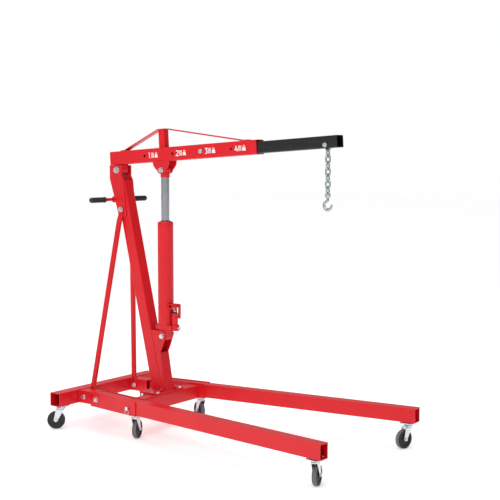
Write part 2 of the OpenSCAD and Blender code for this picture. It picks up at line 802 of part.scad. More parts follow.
module fork_rear_right() { fork(at_side(rear_caster, right), turn_rear_right); }
module wheel_rear_right() { wheel(at_side(rear_caster, right), turn_rear_right); }
module fork_rear_left() { fork(at_side(rear_caster, left), turn_rear_left); }
module wheel_rear_left() { wheel(at_side(rear_caster, left), turn_rear_left); }
module fork_mid_right() { fork(at_side(mid_caster, right), turn_mid_right); }
module wheel_mid_right() { wheel(at_side(mid_caster, right), turn_mid_right); }
module fork_mid_left() { fork(at_side(mid_caster, left), turn_mid_left); }
module wheel_mid_left() { wheel(at_side(mid_caster, left), turn_mid_left); }
module fork_front_right() { fork(at_side(front_caster, right), turn_front_right); }
module wheel_front_right() { wheel(at_side(front_caster, right), turn_front_right); }
module fork_front_left() { fork(at_side(front_caster, left), turn_front_left); }
module wheel_front_left() { wheel(at_side(front_caster, left), turn_front_left); }

rear_cross_tube();
rear_brackets();
leg_channel_right();
leg_channel_left();
front_cross_tube();
mast();
mast_foot_plate();
foot_bolts();
mast_head_plates();
jack_bracket();
handle_bar();
handle_grips();
brace_right();
brace_left();
brace_bolts();
leg_pivot_bolts();
boom_pivot_bolt();
caster_plates();
leg_right();
leg_left();
leg_caster_plate_right();
leg_caster_plate_left();
leg_pin_right();
leg_pin_left();
boom_bush();
boom_tube();
boom_lug();
boom_ears();
ear_bolts();
king_post();
tie_strap();
extension_tube();
chain_bolt();
boom_pin();
chain_upper();
chain_lower();
load_hook();
jack_pin();
jack_base();
jack_cylinder();
cylinder_cap();
piston();
ram_rod();
ram_eye();
pump_body();
pump_plunger();
pump_lever();
release_valve();
fork_rear_right();
wheel_rear_right();
fork_rear_left();
wheel_rear_left();
fork_mid_right();
wheel_mid_right();
fork_mid_left();
wheel_mid_left();
fork_front_right();
wheel_front_right();
fork_front_left();
wheel_front_left();
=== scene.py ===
import json
import math

import bmesh
import bpy
from mathutils import Matrix, Vector


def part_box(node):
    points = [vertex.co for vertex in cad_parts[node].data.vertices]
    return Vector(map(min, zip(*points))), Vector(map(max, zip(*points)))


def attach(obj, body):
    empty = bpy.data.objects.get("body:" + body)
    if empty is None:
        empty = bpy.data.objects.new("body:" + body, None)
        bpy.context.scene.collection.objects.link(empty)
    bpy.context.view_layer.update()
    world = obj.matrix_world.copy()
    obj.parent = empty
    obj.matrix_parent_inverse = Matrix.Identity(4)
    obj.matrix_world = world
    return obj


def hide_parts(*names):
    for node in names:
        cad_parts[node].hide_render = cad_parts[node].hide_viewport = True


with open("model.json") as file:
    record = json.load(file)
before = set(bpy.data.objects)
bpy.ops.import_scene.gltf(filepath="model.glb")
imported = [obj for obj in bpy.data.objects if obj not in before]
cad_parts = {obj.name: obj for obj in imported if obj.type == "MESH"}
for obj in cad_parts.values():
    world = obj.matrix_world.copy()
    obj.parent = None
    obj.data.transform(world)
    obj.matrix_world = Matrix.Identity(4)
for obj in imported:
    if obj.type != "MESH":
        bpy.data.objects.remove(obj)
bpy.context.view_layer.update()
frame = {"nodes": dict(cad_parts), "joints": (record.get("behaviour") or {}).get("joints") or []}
mm = 0.001
joint = {j["name"]: j for j in frame["joints"]}
X, Y, Z = Vector((1, 0, 0)), Vector((0, 1, 0)), Vector((0, 0, 1))
SIDES = {"right": -1, "left": 1}


def at(name):
    """Where a joint is, from the frame."""
    return Vector(joint[name]["pos_m"])


# ---- Studio ----
# A plain pale floor in an evenly white room, with one broad soft lamp high on the viewer's left
# and a weaker one on the right. The camera looks at the crane from its right front quarter.

def linear(code):
    """An sRGB colour written as hex, in the linear values that shaders take."""
    parts = [int(code[i:i + 2], 16) / 255 for i in (1, 3, 5)]
    return tuple(c / 12.92 if c <= 0.04045 else ((c + 0.055) / 1.055) ** 2.4 for c in parts) + (1.0,)


def add(tree, kind, inputs=None, **settings):
    """One shader node with its settings; an input is a value or another node's output."""
    node = tree.nodes.new(kind)
    for key, value in settings.items():
        setattr(node, key, value)
    for key, value in (inputs or {}).items():
        if isinstance(value, bpy.types.NodeSocket):
            tree.links.new(value, node.inputs[key])
        else:
            node.inputs[key].default_value = value
    return node


def new_material(name):
    """An empty node tree with its output, ready for a finish."""
    material = bpy.data.materials.new(name)
    material.use_nodes = True
    material.node_tree.nodes.clear()
    return material, material.node_tree


azimuth, elevation = math.radians(36.58), math.radians(4.79)
aim = Vector((0.1838, 0, 1.0262))
distance = 5.7835
camera = bpy.data.objects.new("camera", bpy.data.cameras.new("camera"))
bpy.context.scene.collection.objects.link(camera)
camera.location = aim + distance * Vector((
    math.sin(azimuth) * math.cos(elevation), -math.cos(azimuth) * math.cos(elevation), math.sin(elevation)))
camera.rotation_euler = (aim - camera.location).to_track_quat("-Z", "Y").to_euler()
camera.data.sensor_width = 36
camera.data.lens = 80.25
bpy.context.scene.camera = camera
bpy.context.scene.view_settings.view_transform = "Standard"


def lamp(name, place, size, power):
    """A square soft box aimed at the middle of the crane."""
    light = bpy.data.objects.new(name, bpy.data.lights.new(name, "AREA"))
    light.data.size = size
    light.data.energy = power
    light.location = place
    light.rotation_euler = (Vector((0, 0, 0.7)) - light.location).to_track_quat("-Z", "Y").to_euler()
    bpy.context.scene.collection.objects.link(light)


lamp("key", Vector((1.2, -4.6, 4.4)), 2.6, 125)
lamp("rim", Vector((-4.2, 1.6, 3.6)), 2.0, 50)
sun = bpy.data.objects.new("ceiling", bpy.data.lights.new("ceiling", "SUN"))
sun.data.energy = 0.9
sun.data.angle = math.radians(60)
bpy.context.scene.collection.objects.link(sun)

room = bpy.data.worlds.new("room")
room.use_nodes = True
room.node_tree.nodes.clear()
seen = add(room.node_tree, "ShaderNodeLightPath")
place = add(room.node_tree, "ShaderNodeTexCoord")
height = add(room.node_tree, "ShaderNodeSeparateXYZ", {0: place.outputs["Generated"]})
shade = add(room.node_tree, "ShaderNodeMapRange", {
    "Value": height.outputs["Z"], "From Min": -0.2, "From Max": 0.9, "To Min": 0.22, "To Max": 0.55})
# the wall on the right is dimmer, which draws a darker band down the bright ram
sideways = add(room.node_tree, "ShaderNodeVectorMath", {
    0: place.outputs["Generated"], 1: (0.8, 0.6, 0.0)}, operation="DOT_PRODUCT")
right_wall = add(room.node_tree, "ShaderNodeMapRange", {
    "Value": sideways.outputs["Value"], "From Min": 0.45, "From Max": 0.85, "To Min": 1.0, "To Max": 0.3})
dimmed = add(room.node_tree, "ShaderNodeMath", {
    0: shade.outputs[0], 1: right_wall.outputs[0]}, operation="MULTIPLY")
level = add(room.node_tree, "ShaderNodeMix", {
    0: seen.outputs["Is Camera Ray"], 2: dimmed.outputs[0], 3: 1.0})
walls = add(room.node_tree, "ShaderNodeBackground", {
    "Color": linear("#FFFFFF"), "Strength": level.outputs[0]})
add(room.node_tree, "ShaderNodeOutputWorld", {"Surface": walls.outputs[0]})
bpy.context.scene.world = room

paper, tree = new_material("pale_floor")
grain = add(tree, "ShaderNodeTexNoise", {"Scale": 3.0, "Detail": 4.0})
tone = add(tree, "ShaderNodeMix", {
    0: grain.outputs[0], 6: linear("#FBFBFB"), 7: linear("#FFFFFF")}, data_type="RGBA")
matt = add(tree, "ShaderNodeBsdfPrincipled", {
    "Base Color": tone.outputs[2], "Roughness": 0.9,
    "Emission Color": tone.outputs[2], "Emission Strength": 0.3})
add(tree, "ShaderNodeOutputMaterial", {"Surface": matt.outputs[0]})
floor_mesh = bpy.data.meshes.new("floor")
floor_r, floor_sides = 40, 48
turns = [math.tau * k / floor_sides for k in range(floor_sides)]
floor_mesh.from_pydata(
    [(floor_r * math.cos(a), floor_r * math.sin(a), 0) for a in turns], [], [list(range(floor_sides))])
floor_mesh.materials.append(paper)
floor = bpy.data.objects.new("floor", floor_mesh)
bpy.context.scene.collection.objects.link(floor)


# ---- Enamelled steel tubes and plates ----
# Welded mild steel box section and laser-cut plate, sprayed with a thick red gloss enamel. The
# tubes are cold formed, so their long corners are well rounded, and cut edges are only broken.

def textured(name):
    """A new material, its tree and the object's own coordinates to lay patterns on."""
    material, tree = new_material(name)
    return material, tree, add(tree, "ShaderNodeTexCoord").outputs["Object"]


def noise(tree, where, size, detail):
    """Cloudy noise whose patches are about size across."""
    return add(tree, "ShaderNodeTexNoise", {"Vector": where, "Scale": 1 / size, "Detail": detail}).outputs[0]


def between(tree, share, first, second):
    """A colour between two hex codes."""
    return add(tree, "ShaderNodeMix", {
        0: share, 6: linear(first), 7: linear(second)}, data_type="RGBA").outputs[2]


def spread(tree, value, low, high, start=0.0, end=1.0):
    """A value that runs from start to end, stretched to run from low to high."""
    return add(tree, "ShaderNodeMapRange", {
        "Value": value, "From Min": start, "From Max": end, "To Min": low, "To Max": high}).outputs[0]


def relief(tree, pattern, strength, depth):
    """The shading of small bumps."""
    return add(tree, "ShaderNodeBump", {
        "Height": pattern, "Strength": strength, "Distance": depth}).outputs[0]


def surfaced(material, colour, rough, more):
    """Ends a material with one shader and its output."""
    tree = material.node_tree
    shader = add(tree, "ShaderNodeBsdfPrincipled", {"Base Color": colour, "Roughness": rough, **more})
    add(tree, "ShaderNodeOutputMaterial", {"Surface": shader.outputs[0]})
    return material


def red_enamel():
    """Sprayed gloss enamel: even red with a faint orange-peel skin that softens its reflections."""
    material, tree, where = textured("red_enamel")
    # patches 150 mm across, where the coat went on thicker
    red = between(tree, noise(tree, where, 150 * mm, 3.0), "#D2121D", "#E01C28")
    # dust nibs and dull spots 12 mm apart
    rough = spread(tree, noise(tree, where, 12 * mm, 5.0), 0.30, 0.44, 0.3, 0.7)
    # orange peel is about 1.5 mm from crest to crest; drawn at 5 mm so that it shows
    skin = relief(tree, noise(tree, where, 5 * mm, 2.0), 0.12, 0.4 * mm)
    return surfaced(material, red, rough, {
        "Normal": skin, "IOR": 1.5, "Specular IOR Level": 0.3, "Coat Weight": 0.12, "Coat Roughness": 0.15})


def finished(name, mesh, material, body, nodes=()):
    """Turns a mesh into a piece that rides on a body and stands for CAD nodes."""
    mesh.materials.clear()
    mesh.materials.append(material)
    for face in mesh.polygons:
        face.use_smooth = True
    mesh.set_sharp_from_angle(angle=math.radians(32))
    made = bpy.data.objects.new(name, mesh)
    bpy.context.scene.collection.objects.link(made)
    even = made.modifiers.new("even_normals", "WEIGHTED_NORMAL")
    even.keep_sharp = True
    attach(made, body)
    if nodes:
        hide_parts(*nodes)
    return made


def round_edges(shape, edges, radius, steps):
    """Rounds those edges of a bmesh."""
    bmesh.ops.bevel(shape, geom=edges, offset=radius, segments=steps, profile=0.5,
                    affect="EDGES", clamp_overlap=True)


def formed(node, body, material, corner=0.0, broken=0.7 * mm, name=None):
    """A fabricated part: long outer corners of the bent section rounded to corner, other edges broken."""
    shape = bmesh.new()
    shape.from_mesh(frame["nodes"][node].data)
    bmesh.ops.remove_doubles(shape, verts=shape.verts, dist=0.01 * mm)
    bmesh.ops.dissolve_limit(shape, angle_limit=math.radians(0.5), verts=shape.verts, edges=shape.edges)
    low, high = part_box(node)
    longest = max(high - low)

    def sharp(edge):
        return len(edge.link_faces) == 2 and edge.calc_face_angle(0) > math.radians(40)

    if corner:
        long_edges = [e for e in shape.edges if sharp(e) and e.is_convex and e.calc_length() > 0.35 * longest]
        round_edges(shape, long_edges, corner, 4)
    round_edges(shape, [e for e in shape.edges if sharp(e)], broken, 2)
    bmesh.ops.recalc_face_normals(shape, faces=shape.faces)
    mesh = bpy.data.meshes.new(name or node)
    shape.to_mesh(mesh)
    shape.free()
    return finished(name or node + "_formed", mesh, material, body, [node])


enamel = red_enamel()
bend_r = 6 * mm
for node in ("rear_cross_tube", "rear_brackets", "front_cross_tube", "mast"):
    formed(node, "root", enamel, bend_r)
for node in ("leg_channel_right", "leg_channel_left", "mast_foot_plate", "mast_head_plates", "jack_bracket"):
    formed(node, "root", enamel, 0, 1.2 * mm)
for side in SIDES:
    formed(f"leg_{side}", f"leg_{side}", enamel, bend_r)
for node, corner in (("boom_tube", bend_r), ("king_post", 4 * mm), ("boom_lug", 0), ("boom_ears", 0),
                     ("tie_strap", 0)):
    formed(node, "boom", enamel, corner, 1.0 * mm)


# ---- Weld beads ----
# Single-pass fillet welds laid by hand: a bead some 6 mm wide with a ripple for each step of the
# torch, painted over with the same enamel.

def band(a, b, n):
    """The faces between two closed rows of n points that start at a and b."""
    return [[a + k, a + (k + 1) % n, b + (k + 1) % n, b + k] for k in range(n)]


def end_faces(n, total):
    """The two end faces of a stack of rows of n points."""
    return [list(range(n))[::-1], list(range(total - n, total))]


def sweep(path, plane, section, closed=False):
    """A section carried along a flat path; plane is the path's normal and section(k) gives the
    section's points at path point k, as steps across the path and along the normal."""
    points, faces = [], []
    last = len(path) - 1
    for k, p in enumerate(path):
        ahead = path[(k + 1) % len(path)] if closed or k < last else p
        behind = path[k - 1] if closed or k > 0 else p
        across = plane.cross((ahead - behind).normalized())
        points += [p + across * u + plane * v for u, v in section(k)]
    n = len(section(0))
    for k in range(len(path) if closed else last):
        faces += band(k * n, (k + 1) % len(path) * n, n)
    return points, faces if closed else faces + end_faces(n, len(points))


def slab(outline, z0, z1):
    """A flat plate from an outline of (x, y) pairs."""
    n = len(outline)
    points = [Vector((x, y, z)) for z in (z0, z1) for x, y in outline]
    return points, end_faces(n, 2 * n) + band(0, n, n)


def ring(across, along=None, sides=12):
    """The points of a round or oval section."""
    along = along or across
    return [(across * math.cos(math.tau * k / sides), along * math.sin(math.tau * k / sides))
            for k in range(sides)]


def moved(shape, matrix):
    return [matrix @ p for p in shape[0]], shape[1]


def joined(*shapes):
    points, faces = [], []
    for more, quads in shapes:
        faces += [[i + len(points) for i in quad] for quad in quads]
        points += more
    return points, faces


def piece(name, shape, material, body, nodes=(), broken=0.0):
    """A piece from points and faces; broken rounds its sharp edges."""
    work = bmesh.new()
    corners = [work.verts.new(p) for p in shape[0]]
    for face in shape[1]:
        work.faces.new([corners[i] for i in face])
    bmesh.ops.recalc_face_normals(work, faces=work.faces)
    if broken:
        round_edges(work, [e for e in work.edges if e.calc_face_angle(0) > math.radians(40)], broken, 2)
    mesh = bpy.data.meshes.new(name)
    work.to_mesh(mesh)
    work.free()
    return finished(name, mesh, material, body, nodes)


bead_r = 3.2 * mm
ripple = 4.0 * mm


def swell(k):
    """How much a bead swells at its k-th step, four steps to a ripple."""
    return 1 + 0.16 * abs(math.sin(math.pi * k / 4))


def bead(start, end):
    """A straight weld bead with a ripple every few millimetres and rounded-off ends."""
    along = end - start
    steps = max(6, int(along.length / ripple * 4))
    side = along.normalized().orthogonal().normalized()

    def section(k):
        taper = min(1, (min(k, steps - k) + 0.6) / 3)
        return ring(bead_r * swell(k) * taper, sides=8)
    return sweep([start + along * (k / steps) for k in range(steps + 1)], side, section)


def beads(name, lines, body):
    """Weld beads between pairs of points, as one piece."""
    return piece(name, joined(*[bead(Vector(a), Vector(b)) for a, b in lines]), enamel, body)


foot_low, foot_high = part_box("mast_foot_plate")
mast_low, mast_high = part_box("mast")
rear_low, rear_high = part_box("rear_cross_tube")
cheek_low, cheek_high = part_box("jack_bracket")
plate_t = 6 * mm
mast_half = (mast_high.y - mast_low.y) / 2
foot_z = foot_high.z
mast_deep = 72 * mm
back_x, bracket_toe = mast_high.x - mast_deep, cheek_high.x - 6 * mm
foot_lines = [((back_x, -mast_half, foot_z), (back_x, mast_half, foot_z)),
              ((bracket_toe, -mast_half, foot_z), (bracket_toe, mast_half, foot_z))]
for s in (-1, 1):
    y = s * (mast_half + 1 * mm)
    foot_lines.append(((back_x, y, foot_z), (bracket_toe, y, foot_z)))
    foot_lines.append(((mast_high.x, y, foot_z), (cheek_low.x, y, cheek_high.z)))
beads("foot_welds", foot_lines, "root")
# a small triangular gusset beside each side of the bracket's foot
gusset_y, gusset_in = cheek_high.y - 0.5 * mm, 12 * mm
reach, rise, toe, half_t = 40 * mm, 32 * mm, 5 * mm, 3 * mm
gusset = [(0, 0), (reach, 0), (reach, toe), (toe, rise), (0, rise)]
for side, s in SIDES.items():
    place = Matrix.Translation((bracket_toe - gusset_in, s * gusset_y, foot_z)) @ \
        Matrix((Y * s, Z, X)).transposed().to_4x4()
    piece(f"foot_gusset_{side}", moved(slab(gusset, -half_t, half_t), place), enamel, "root",
          broken=0.8 * mm)
bracket_low, bracket_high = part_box("rear_brackets")
bracket_in, bracket_out = 178 * mm, bracket_high.y
lines = []
for s in (-1, 1):
    for z in (bracket_low.z, bracket_high.z):
        lines.append(((rear_high.x, s * bracket_in, z), (rear_high.x, s * bracket_out, z)))
    for y in (bracket_in, bracket_out):
        lines.append(((rear_high.x, s * y, bracket_low.z), (rear_high.x, s * y, bracket_high.z)))
beads("bracket_welds", lines, "root")

boom_pivot = at("boom_raise")
boom_along = Vector(joint["extension_slide"]["axis"]).normalized()
boom_up = Vector((-boom_along.z, 0, boom_along.x))


def on_boom(along, up, y=0.0):
    """A point in the boom's own frame, from its pivot."""
    return boom_pivot + boom_along * along + boom_up * up + Y * y


boom_under, boom_h, boom_half = 29.6 * mm, 75 * mm, 34.5 * mm
boom_top = boom_under + boom_h
ear_at = (at("jack_tilt_low").x - boom_pivot.x) / boom_along.x - 1 * mm
post_back, post_front = ear_at - 20 * mm, ear_at + 22 * mm
# each seam along the boom: from, to, height and half the width of what is welded on
seams = [(ear_at - 55 * mm, ear_at + 55 * mm, boom_under, boom_half),
         (post_back, post_front, boom_top, 20 * mm),
         (868 * mm, 905 * mm, boom_top, 20 * mm),
         (20 * mm, 46 * mm, boom_top, 20 * mm),
         (-30 * mm, 28 * mm, boom_under, 27 * mm)]
lines = [(on_boom(start, up, s * half), on_boom(end, up, s * half))
         for s in (-1, 1) for start, end, up, half in seams]
lines += [(on_boom(d, boom_top, -20 * mm), on_boom(d, boom_top, 20 * mm)) for d in (post_back, post_front)]
beads("boom_welds", lines, "boom")


# ---- Bolts, washers and nuts ----
# Hexagon bolts with turned washers and chamfered nuts, rolled threads, bright zinc plated. The
# plating is a bluish, slightly cloudy metal with a soft shine.

def zinc(name, pale, dull, low, high):
    """Zinc plate: metal whose crystals, a few millimetres wide, catch the light differently."""
    material, tree, where = textured(name)
    # plating crystals are under 1 mm; drawn at 4 mm so that they show
    crystal = add(tree, "ShaderNodeTexVoronoi", {"Vector": where, "Scale": 1 / (4 * mm)})
    cloud = noise(tree, where, 9 * mm, 4.0)
    rough = spread(tree, crystal.outputs["Distance"], low, high, 0.0, 0.8)
    return surfaced(material, between(tree, cloud, pale, dull), rough, {
        "Metallic": 1.0, "Normal": relief(tree, cloud, 0.10, 0.3 * mm)})


plated = zinc("bright_zinc", "#E8ECEF", "#C9CFD6", 0.24, 0.40)


def lathe(profile, sides=40, closed=False):
    """A shape turned round Z from (radius, height) pairs. A zero radius closes an end; closed joins
    the last pair to the first, as on a ring."""
    points, faces, rings = [], [], []
    for r, z in profile:
        count = 1 if r < 1e-7 else sides
        rings.append(range(len(points), len(points) + count))
        points += [Vector((r * math.cos(math.tau * k / sides), r * math.sin(math.tau * k / sides), z))
                   for k in range(count)]
    pairs = list(zip(rings, rings[1:])) + ([(rings[-1], rings[0])] if closed else [])
    for a, b in pairs:
        for k in range(sides):
            quad = [a[k % len(a)], a[(k + 1) % len(a)], b[(k + 1) % len(b)], b[k % len(b)]]
            quad = list(dict.fromkeys(quad))
            if len(quad) > 2:
                faces.append(quad)
    return points, faces


def hexagon(flats, height, sides=48):
    """A hexagon head or nut standing on z = 0, its top corners turned to a 30 degree chamfer."""
    half, points = flats / 2, []
    reach = [half / math.cos((k * math.tau / sides) % (math.tau / 6) - math.tau / 12) for k in range(sides)]
    rows = [(lambda r: r, lambda r: 0), (lambda r: r, lambda r: height - (r - half) * 0.58),
            (lambda r: half * 0.95, lambda r: height)]
    for across, up in rows:
        for k, r in enumerate(reach):
            a = k * math.tau / sides
            points.append(Vector((across(r) * math.cos(a), across(r) * math.sin(a), up(r))))
    return points, band(0, sides, sides) + band(sides, 2 * sides, sides) + end_faces(sides, len(points))


washer_t = 2 * mm


def washer(r, z):
    """A turned washer for a bolt of radius r, standing on z."""
    wide, top, chamfer = 1.9 * r, z + washer_t, 0.4 * mm
    return lathe([(r, z), (wide - chamfer, z), (wide, z + chamfer), (wide, top - chamfer),
                  (wide - chamfer, top), (r, top)], closed=True)


def thread(r, z, length):
    """A threaded end with a chamfered tip."""
    pitch, deep, tip = 1.75 * mm, 0.9 * mm, 1.2 * mm
    count = max(1, int(length / pitch))
    end = z + count * pitch
    profile = [(0, z)]
    for k in range(count):
        profile += [(r, z + k * pitch), (r - deep, z + (k + 0.5) * pitch)]
    return lathe(profile + [(r, end), (r - 1.6 * mm, end + tip), (0, end + tip)])


def turned_to(origin, direction, spin=0.0):
    """Moves a shape's Z onto a direction from an origin."""
    return Matrix.Translation(origin) @ direction.to_track_quat("Z", "Y").to_matrix().to_4x4() @ \
        Matrix.Rotation(spin, 4, "Z")


upside_down = Matrix.Rotation(math.pi, 4, "X")


def bolt_shape(r, grip, nut=True):
    """A bolt along Z whose head sits under z = 0 and whose nut sits on z = grip."""
    flats, nut_h, sunk = 2.9 * r, 0.85 * r, 1 * mm
    t = washer_t
    head = moved(hexagon(flats, 0.95 * r), Matrix.Translation((0, 0, -t)) @ upside_down)
    parts = [washer(r, -t), head, lathe([(0, -t - sunk), (r, -t - sunk), (r, grip), (0, grip)])]
    if nut:
        parts += [washer(r, grip), moved(hexagon(flats, nut_h), Matrix.Translation((0, 0, grip + t))),
                  thread(r * 0.97, grip + t + nut_h - sunk, 0.55 * r)]
    return joined(*parts)


def bolt(name, start, end, r, body, nodes, nut=True, spin=0.3):
    """A bolt whose washer faces meet the work at start, the head's side, and at end."""
    shape = moved(bolt_shape(r, (end - start).length, nut), turned_to(start, end - start, spin))
    return piece(name, shape, plated, body, nodes)


def solids(node):
    """The boxes of a CAD node's separate solids, in order along Y."""
    work = bmesh.new()
    work.from_mesh(frame["nodes"][node].data)
    bmesh.ops.remove_doubles(work, verts=work.verts, dist=0.01 * mm)
    left, found = set(work.verts), []
    while left:
        group, edge = set(), [left.pop()]
        while edge:
            v = edge.pop()
            group.add(v)
            for e in v.link_edges:
                other = e.other_vert(v)
                if other in left:
                    left.discard(other)
                    edge.append(other)
        found.append((Vector([min(v.co[i] for v in group) for i in range(3)]),
                      Vector([max(v.co[i] for v in group) for i in range(3)])))
    work.free()
    return sorted(found, key=lambda b: (b[0].y, b[0].x))


side_y = mast_half + plate_t
for k, (low, high) in enumerate(solids("foot_bolts")):
    centre = (low + high) / 2
    under = foot_low.z - 4 * mm
    bolt(f"foot_bolt_{k}", Vector((centre.x, centre.y, foot_z)), Vector((centre.x, centre.y, under)),
         7 * mm, "root", ["foot_bolts"], spin=0.2 + k)
for k, (low, high) in enumerate(solids("brace_bolts")):
    centre = (low + high) / 2
    if high.y > 0 > low.y:
        ends = -(side_y + plate_t), side_y + plate_t
    else:
        s = 1 if centre.y > 0 else -1
        ends = s * bracket_out, s * (bracket_in - plate_t)
    bolt(f"brace_bolt_{k}", Vector((centre.x, ends[0], centre.z)), Vector((centre.x, ends[1], centre.z)),
         8 * mm, "root", ["brace_bolts"], spin=0.5 * k)
channel_half = 35.25 * mm
leg_frame = {}
for side, s in SIDES.items():
    axis = Vector(joint[f"leg_fold_{side}"]["axis"])
    out = Vector((axis.x, axis.y, 0)).normalized() * (1 if axis.y * s > 0 else -1)
    pivot = at(f"leg_fold_{side}")
    leg_frame[side] = (pivot, Vector((-axis.y, axis.x, 0)).normalized(), out)
    bolt(f"leg_pivot_bolt_{side}", pivot + out * channel_half, pivot - out * channel_half, 8 * mm,
         "root", ["leg_pivot_bolts"])


def cross_bolt(name, middle, half, r, body, node):
    """A bolt across the crane through a middle point, half its grip to each side."""
    bolt(name, middle - Y * half, middle + Y * half, r, body, [node])


cross_bolt("boom_pivot_bolt_turned", boom_pivot, side_y, 10 * mm, "root", "boom_pivot_bolt")
chain_low, chain_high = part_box("chain_bolt")
chain_pin = (chain_low + chain_high) / 2
chain_pin.y = 0
ext_half = 30 * mm
cross_bolt("chain_bolt_turned", chain_pin, ext_half, 6 * mm, "extension", "chain_bolt")
jack_pin = at("jack_tilt_low")
cross_bolt("jack_pin_turned", jack_pin, cheek_high.y + 0.3 * mm, 8 * mm, "jack_pin", "jack_pin")
for k, (low, high) in enumerate(solids("ear_bolts")):
    s = -1 if low.y < 0 else 1
    centre = Vector(((low.x + high.x) / 2, 0, (low.z + high.z) / 2))
    bolt(f"ear_bolt_{k}", centre + Y * s * boom_half, centre + Y * s * 24 * mm, 8 * mm, "boom",
         ["ear_bolts"], nut=False)


# ---- Lock pins and load pin ----
# Turned steel pins with a collar head; the legs' pins carry a loose wire ring to pull them by.

def turned_pin(name, start, direction, r, length, collar_r, collar_l, body, nodes):
    """A pin whose collar sits before start and whose shank runs on along direction."""
    c = 0.8 * mm
    profile = [(0, -collar_l), (collar_r - 2 * c, -collar_l), (collar_r - c / 2, -collar_l + c),
               (collar_r, -collar_l + 2 * c), (collar_r, -c), (collar_r - c, 0), (r, 0),
               (r, length - 2 * c), (r - 2 * c, length), (0, length)]
    return piece(name, moved(lathe(profile), turned_to(start, direction)), plated, body, nodes)


for side in SIDES:
    pivot, along, out = leg_frame[side]
    ahead, drop = 268 * mm, 6 * mm
    seat = pivot + along * ahead - Z * drop + out * (channel_half + 0.3 * mm)
    turned_pin(f"lock_pin_{side}", seat, -out, 7 * mm, 2 * channel_half + 12 * mm, 11 * mm, 12 * mm,
               f"leg_pin_{side}", [f"leg_pin_{side}"])
    hung = seat + out * 7.7 * mm - Z * 20 * mm
    loop = [hung + (along * math.cos(a) + Z * math.sin(a)) * 14 * mm
            for a in (math.tau * k / 40 for k in range(40))]
    piece(f"lock_pin_ring_{side}", sweep(loop, out, lambda k: ring(1.7 * mm, sides=10), closed=True),
          plated, f"leg_pin_{side}")
pin_low, pin_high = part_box("boom_pin")
pin_c = (pin_low + pin_high) / 2
turned_pin("load_pin", Vector((pin_c.x, -boom_half - 0.3 * mm, pin_c.z)), Y, 7 * mm, 2 * boom_half + 13 * mm,
           12.5 * mm, 11 * mm, "boom_pin", ["boom_pin"])


# ---- Braces ----
# Two 30 mm steel tubes from the mast's head to the base, flattened in a press at both ends and
# bolted through the flats. Enamelled red.

def flattened(name, side):
    """A tube pressed flat at both ends: its section goes from a slot shape to a circle."""
    s = SIDES[side]
    low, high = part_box(f"brace_{side}")
    r, flat_half, flat_t = 15 * mm, 17 * mm, 3 * mm
    top = Vector((high.x - flat_half, s * (side_y + plate_t / 2), high.z - flat_half))
    base = Vector((low.x + flat_half, s * (bracket_in - plate_t / 2), low.z + flat_half))
    along = base - top
    length = along.length
    lie = along.cross(Y).normalized()
    sides = 28
    stations = [-0.95, -0.8, -0.5, 0, 1.2, 2.0, 2.6, 3.2, 3.8, 4.6]
    places = [k * flat_half for k in stations]
    places = places + [length - p for p in reversed(places)]
    points, faces = [], []
    for p in places:
        end = min(p, length - p)
        t = min(1, max(0, (end - 1.3 * flat_half) / (3.0 * flat_half)))
        t = t * t * (3 - 2 * t)
        wide = flat_half * (1 - t) + r * t
        if end < 0:
            wide = math.sqrt(max(0, flat_half ** 2 - end ** 2))
        thick = flat_t * (1 - t) + r * t
        power = 0.35 * (1 - t) + 1.0 * t
        centre = top + along * (p / length)
        if t < 1:
            centre.y += ((top.y if p < length / 2 else base.y) - centre.y) * (1 - t)
        for k in range(sides):
            a = math.tau * k / sides
            c, n = math.cos(a), math.sin(a)
            points.append(centre + lie * wide * math.copysign(abs(c) ** max(power, 0.5), c)
                          + Y * thick * math.copysign(abs(n) ** power, n))
    for row in range(len(places) - 1):
        faces += band(row * sides, (row + 1) * sides, sides)
    faces += end_faces(sides, len(points))
    return piece(name, (points, faces), enamel, "root", [f"brace_{side}"])


for side in SIDES:
    flattened(f"brace_tube_{side}", side)


# ---- Push handle ----
# A round red bar through the mast's head plates with a moulded rubber grip on each end. The grips
# are ribbed, with a flange inboard and a rounded end.

def rubber(name, pale, dark, low, high, grain_mm):
    """Moulded black rubber: dull, faintly greyed with dust and handling, with a fine pebble."""
    material, tree, where = textured(name)
    dust = noise(tree, where, 30 * mm, 6.0)
    pebble = noise(tree, where, grain_mm * mm, 2.0)
    return surfaced(material, between(tree, dust, dark, pale), spread(tree, dust, low, high), {
        "Normal": relief(tree, pebble, 0.35, 0.3 * mm), "IOR": 1.52})


grip_rubber = rubber("grip_rubber", "#303236", "#1B1C1F", 0.55, 0.72, 2.0)
bar_low, bar_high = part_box("handle_bar")
bar_c = (bar_low + bar_high) / 2
bar_r = 9 * mm
bar_half = bar_high.y
bar_profile = [(0, -bar_half), (bar_r - 1 * mm, -bar_half), (bar_r, -bar_half + 1 * mm),
               (bar_r, bar_half - 1 * mm), (bar_r - 1 * mm, bar_half), (0, bar_half)]
piece("push_bar", moved(lathe(bar_profile), turned_to(bar_c, Y)), enamel, "root",
      ["handle_bar"])
grip_r, grip_l, grip_end = 15 * mm, 117 * mm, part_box("handle_grips")[1].y
ribs, rib_step, rib_deep = 20, 4.8 * mm, 1.5 * mm
grip_profile = [(0, 0), (6 * mm, 0.2 * mm), (10 * mm, 1.4 * mm), (13 * mm, 4.2 * mm), (14.4 * mm, 8 * mm)]
for k in range(ribs):
    z = 12 * mm + k * rib_step
    grip_profile += [(grip_r, z), (grip_r, z + 2.2 * mm), (grip_r - rib_deep, z + 2.9 * mm),
                     (grip_r - rib_deep, z + 4.1 * mm)]
bore_r = bar_r + 0.1 * mm
grip_profile += [(14.5 * mm, grip_l - 9 * mm), (16 * mm, grip_l - 7 * mm), (16 * mm, grip_l - 2 * mm),
                 (14 * mm, grip_l), (bore_r, grip_l), (bore_r, 9 * mm), (0, 9 * mm)]
